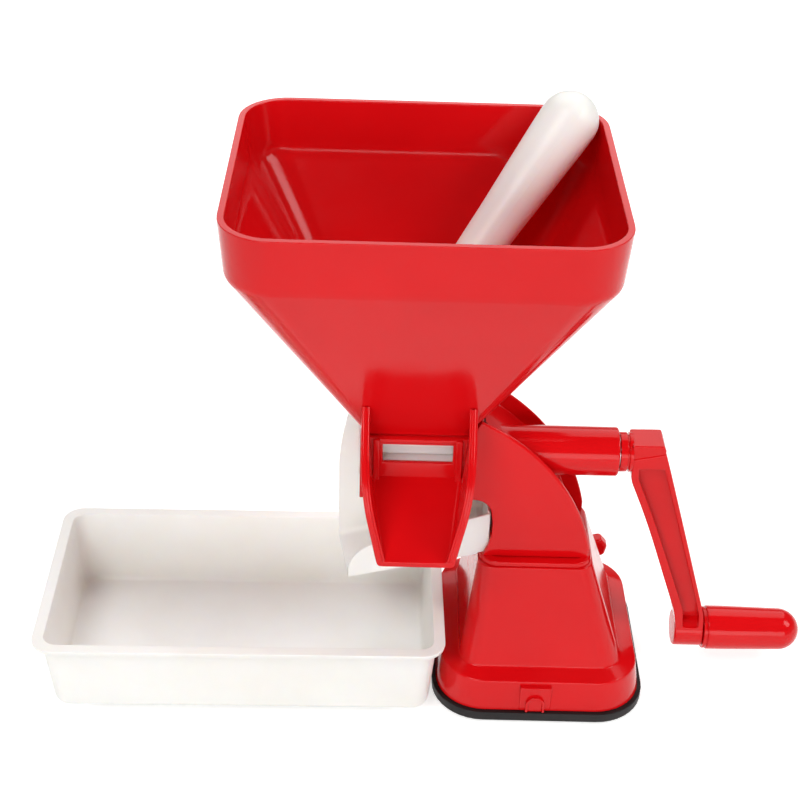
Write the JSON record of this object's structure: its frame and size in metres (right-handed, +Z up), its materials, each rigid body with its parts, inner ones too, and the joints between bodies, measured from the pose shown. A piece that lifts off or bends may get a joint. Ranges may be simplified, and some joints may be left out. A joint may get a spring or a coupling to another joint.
{
  "type": "hand cranked tomato strainer",
  "caption": "Hand-cranked tomato strainer: rectangular hopper over a perforated drum, waste chute, juice trough, tray, pusher and a lever-locked suction base.",
  "frame": {"origin": "centre of the underside of the suction pad, on the surface that the strainer stands on", "axes": "+X towards the crank, +Y to the back, away from the waste chute, +Z up"},
  "size_m": [0.4458, 0.1739, 0.3268],
  "materials": {
    "red_plastic": "glossy injection moulded red plastic",
    "white_plastic": "smooth white food-grade plastic",
    "black_rubber": "matt black rubber",
    "steel": "brushed stainless steel",
    "zinc_steel": "zinc plated steel",
    "grey_plastic": "matt dark plastic",
    "bush_plastic": "self-lubricating pale plastic"
  },
  "bodies": {
    "frame": {"base_housing": "red_plastic", "base_plate": "grey_plastic", "base_screws": "zinc_steel", "foot_screws": "zinc_steel", "suction_pad": "black_rubber", "machine_body": "red_plastic", "hopper": "red_plastic", "waste_chute": "red_plastic", "skin_scraper": "white_plastic", "juice_trough": "white_plastic", "shaft_bush_inner": "bush_plastic", "shaft_bush_outer": "bush_plastic", "shaft_seal": "black_rubber", "flap_pin": "steel"},
    "crank_set": {"drive_shaft": "steel", "strainer_drum": "white_plastic", "drum_hub": "white_plastic", "thrust_washer": "steel", "crank_arm": "red_plastic", "crank_screw": "zinc_steel", "grip_axle": "steel"},
    "grip_set": {"grip": "red_plastic"},
    "lever_set": {"suction_lever": "red_plastic", "cam_shaft": "zinc_steel", "cam_clip": "zinc_steel", "lever_pin": "zinc_steel"},
    "stud": {"pad_stud": "zinc_steel"},
    "flap": {"pressure_flap": "white_plastic", "flap_spring": "steel"},
    "tray_set": {"tray": "white_plastic"},
    "pusher_set": {"pusher": "white_plastic"}
  },
  "joints": [
    {"name": "crank_spin", "type": "hinge", "parent": "frame", "child": "crank_set", "pos_m": [0, 0, 0.1486], "axis": [1, 0, 0], "continuous": true},
    {"name": "grip_spin", "type": "hinge", "parent": "crank_set", "child": "grip_set", "pos_m": [0.129, 0, 0.0214], "axis": [1, 0, 0], "continuous": true},
    {"name": "lever_turn", "type": "hinge", "parent": "frame", "child": "lever_set", "pos_m": [0, 0, 0.0185], "axis": [0, -1, 0], "range_deg": [0, 130]},
    {"name": "stud_lift", "type": "slide", "parent": "frame", "child": "stud", "axis": [0, 0, 1], "range_m": [0, 0.0041]},
    {"name": "flap_swing", "type": "hinge", "parent": "frame", "child": "flap", "pos_m": [-0.0758, -0.0154, 0.175], "axis": [-1, 0, 0], "range_deg": [0, 12], "stiffness_Nm_per_rad": 0.01, "springref_deg": -17.19},
    {"name": "tray_slide", "type": "slide", "parent": "frame", "child": "tray_set", "axis": [-1, 0, 0], "range_m": [0, 0.25]},
    {"name": "pusher_lift", "type": "slide", "parent": "frame", "child": "pusher_set", "axis": [0, 0, 1], "range_m": [0, 0.2]}
  ],
  "couplings": [
    {"joint": "stud_lift", "follows": "lever_turn", "m_per_rad": 0.001763}
  ]
}
